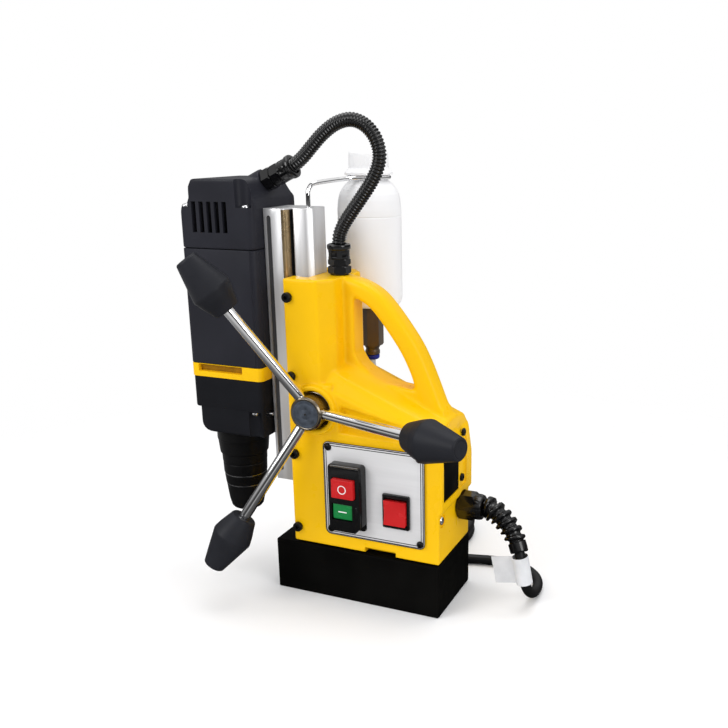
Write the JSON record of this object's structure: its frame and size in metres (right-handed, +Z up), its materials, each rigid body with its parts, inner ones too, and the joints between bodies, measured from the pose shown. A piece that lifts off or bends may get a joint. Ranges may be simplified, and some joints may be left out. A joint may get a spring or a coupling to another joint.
{
  "type": "magnetic drill press",
  "caption": "Portable drill press on an electromagnet base: dovetail slide with motor and arbor, three-spoke rack feed, carrying handle, coolant bottle and coiled mains cord.",
  "frame": {"origin": "centre of the electromagnet's bottom face, which clamps to the work", "axes": "+Z up along the slide and the arbor, +X towards the cable side, away from the drill unit; the operator, the feed hub and the control panel are at -Y"},
  "size_m": [0.3253, 0.2999, 0.4355],
  "materials": {
    "magnet_black": "black enamel, satin",
    "housing_yellow": "golden yellow enamel, satin gloss",
    "unit_black": "charcoal, fine moulded texture",
    "gearbox_black": "charcoal paint on a casting",
    "arbor_black": "turned, black oxide",
    "slide_aluminium": "machined, brushed along its length",
    "panel_silver": "brushed sheet with printed lines",
    "steel": "machined",
    "chrome": "polished",
    "hub_steel": "turned and burnished",
    "knob_black": "smooth moulded",
    "fastener_black": "black oxide",
    "nylon_black": "moulded nylon",
    "cord_rubber": "matt",
    "stop_red": "glossy",
    "start_green": "glossy",
    "bottle_white": "milky translucent",
    "brass": "machined, dull",
    "valve_bronze": "dark bronze",
    "collar_blue": "glossy",
    "tube_clear": "clear tube",
    "copper": "varnished copper winding",
    "board_green": "circuit board",
    "resin": "cast resin",
    "tag_white": "blank label"
  },
  "bodies": {
    "root": {"magnet_body": "magnet_black", "magnet_coil": "copper", "magnet_potting": "resin", "housing": "housing_yellow", "gib_strip": "brass", "gib_screw_1": "fastener_black", "gib_screw_2": "fastener_black", "gib_screw_3": "fastener_black", "gib_screw_4": "fastener_black", "control_plate": "panel_silver", "switch_housing": "nylon_black", "rocker_bezel": "nylon_black", "control_board": "board_green", "rear_plate": "magnet_black", "cord_gland": "nylon_black", "strain_relief": "nylon_black", "power_cord": "cord_rubber", "power_cord_end": "cord_rubber", "power_plug": "nylon_black", "cord_coil": "cord_rubber", "cord_tag": "tag_white", "column_gland_body": "nylon_black", "column_gland_nut": "nylon_black", "pinion_bush": "brass"},
    "carriage": {"slide": "slide_aluminium", "feed_rack": "steel", "motor_housing": "unit_black", "motor_cap": "unit_black", "motor_ring": "housing_yellow", "stator": "copper", "gearbox": "gearbox_black", "gearbox_bolt_1": "steel", "gearbox_bolt_2": "steel", "motor_bolt": "steel", "spindle_bearing": "steel", "motor_gland_body": "nylon_black", "motor_gland_nut": "nylon_black", "conduit": "nylon_black", "bottle_bracket": "chrome", "coolant_bottle": "bottle_white", "bottle_cap": "bottle_white", "drip_valve": "valve_bronze", "hose_collar": "collar_blue", "coolant_tube": "tube_clear", "tube_elbow": "brass"},
    "feed": {"pinion_shaft": "steel", "feed_hub": "hub_steel", "spoke_1": "chrome", "spoke_2": "chrome", "spoke_3": "chrome", "spoke_knob_1": "knob_black", "spoke_knob_2": "knob_black", "spoke_knob_3": "knob_black"},
    "spindle": {"arbor": "arbor_black", "spindle_gear": "steel"},
    "layshaft": {"layshaft": "steel"},
    "armature": {"armature": "copper"},
    "stop": {"stop_button": "stop_red"},
    "start": {"start_button": "start_green"},
    "rocker": {"rocker_switch": "stop_red"}
  },
  "joints": [
    {"name": "carriage_slide", "type": "slide", "parent": "root", "child": "carriage", "axis": [0, 0, 1], "range_m": [-0.05, 0.065], "deforming": ["conduit"]},
    {"name": "feed_turn", "type": "hinge", "parent": "root", "child": "feed", "pos_m": [-0.036, 0, 0.1826], "axis": [0, 1, 0], "range_deg": [-275, 357]},
    {"name": "spindle_spin", "type": "hinge", "parent": "carriage", "child": "spindle", "pos_m": [-0.14, 0, 0.15], "axis": [0, 0, 1], "continuous": true},
    {"name": "layshaft_spin", "type": "hinge", "parent": "carriage", "child": "layshaft", "pos_m": [-0.12355, 0.01748, 0.18], "axis": [0, 0, 1], "continuous": true},
    {"name": "armature_spin", "type": "hinge", "parent": "carriage", "child": "armature", "pos_m": [-0.131, 0, 0.26], "axis": [0, 0, 1], "continuous": true},
    {"name": "stop_press", "type": "slide", "parent": "root", "child": "stop", "axis": [0, 1, 0], "range_m": [0, 0.003], "stiffness_N_per_m": 600, "springref_m": -0.002},
    {"name": "start_press", "type": "slide", "parent": "root", "child": "start", "axis": [0, 1, 0], "range_m": [0, 0.003], "stiffness_N_per_m": 600, "springref_m": -0.002},
    {"name": "rocker_tilt", "type": "hinge", "parent": "root", "child": "rocker", "pos_m": [0.0435, -0.043, 0.098], "axis": [1, 0, 0], "range_deg": [-12, 0]}
  ],
  "couplings": [
    {"joint": "feed_turn", "follows": "carriage_slide", "rad_per_m": 95.238},
    {"joint": "layshaft_spin", "follows": "spindle_spin", "ratio": -3},
    {"joint": "armature_spin", "follows": "spindle_spin", "ratio": 8.4}
  ]
}
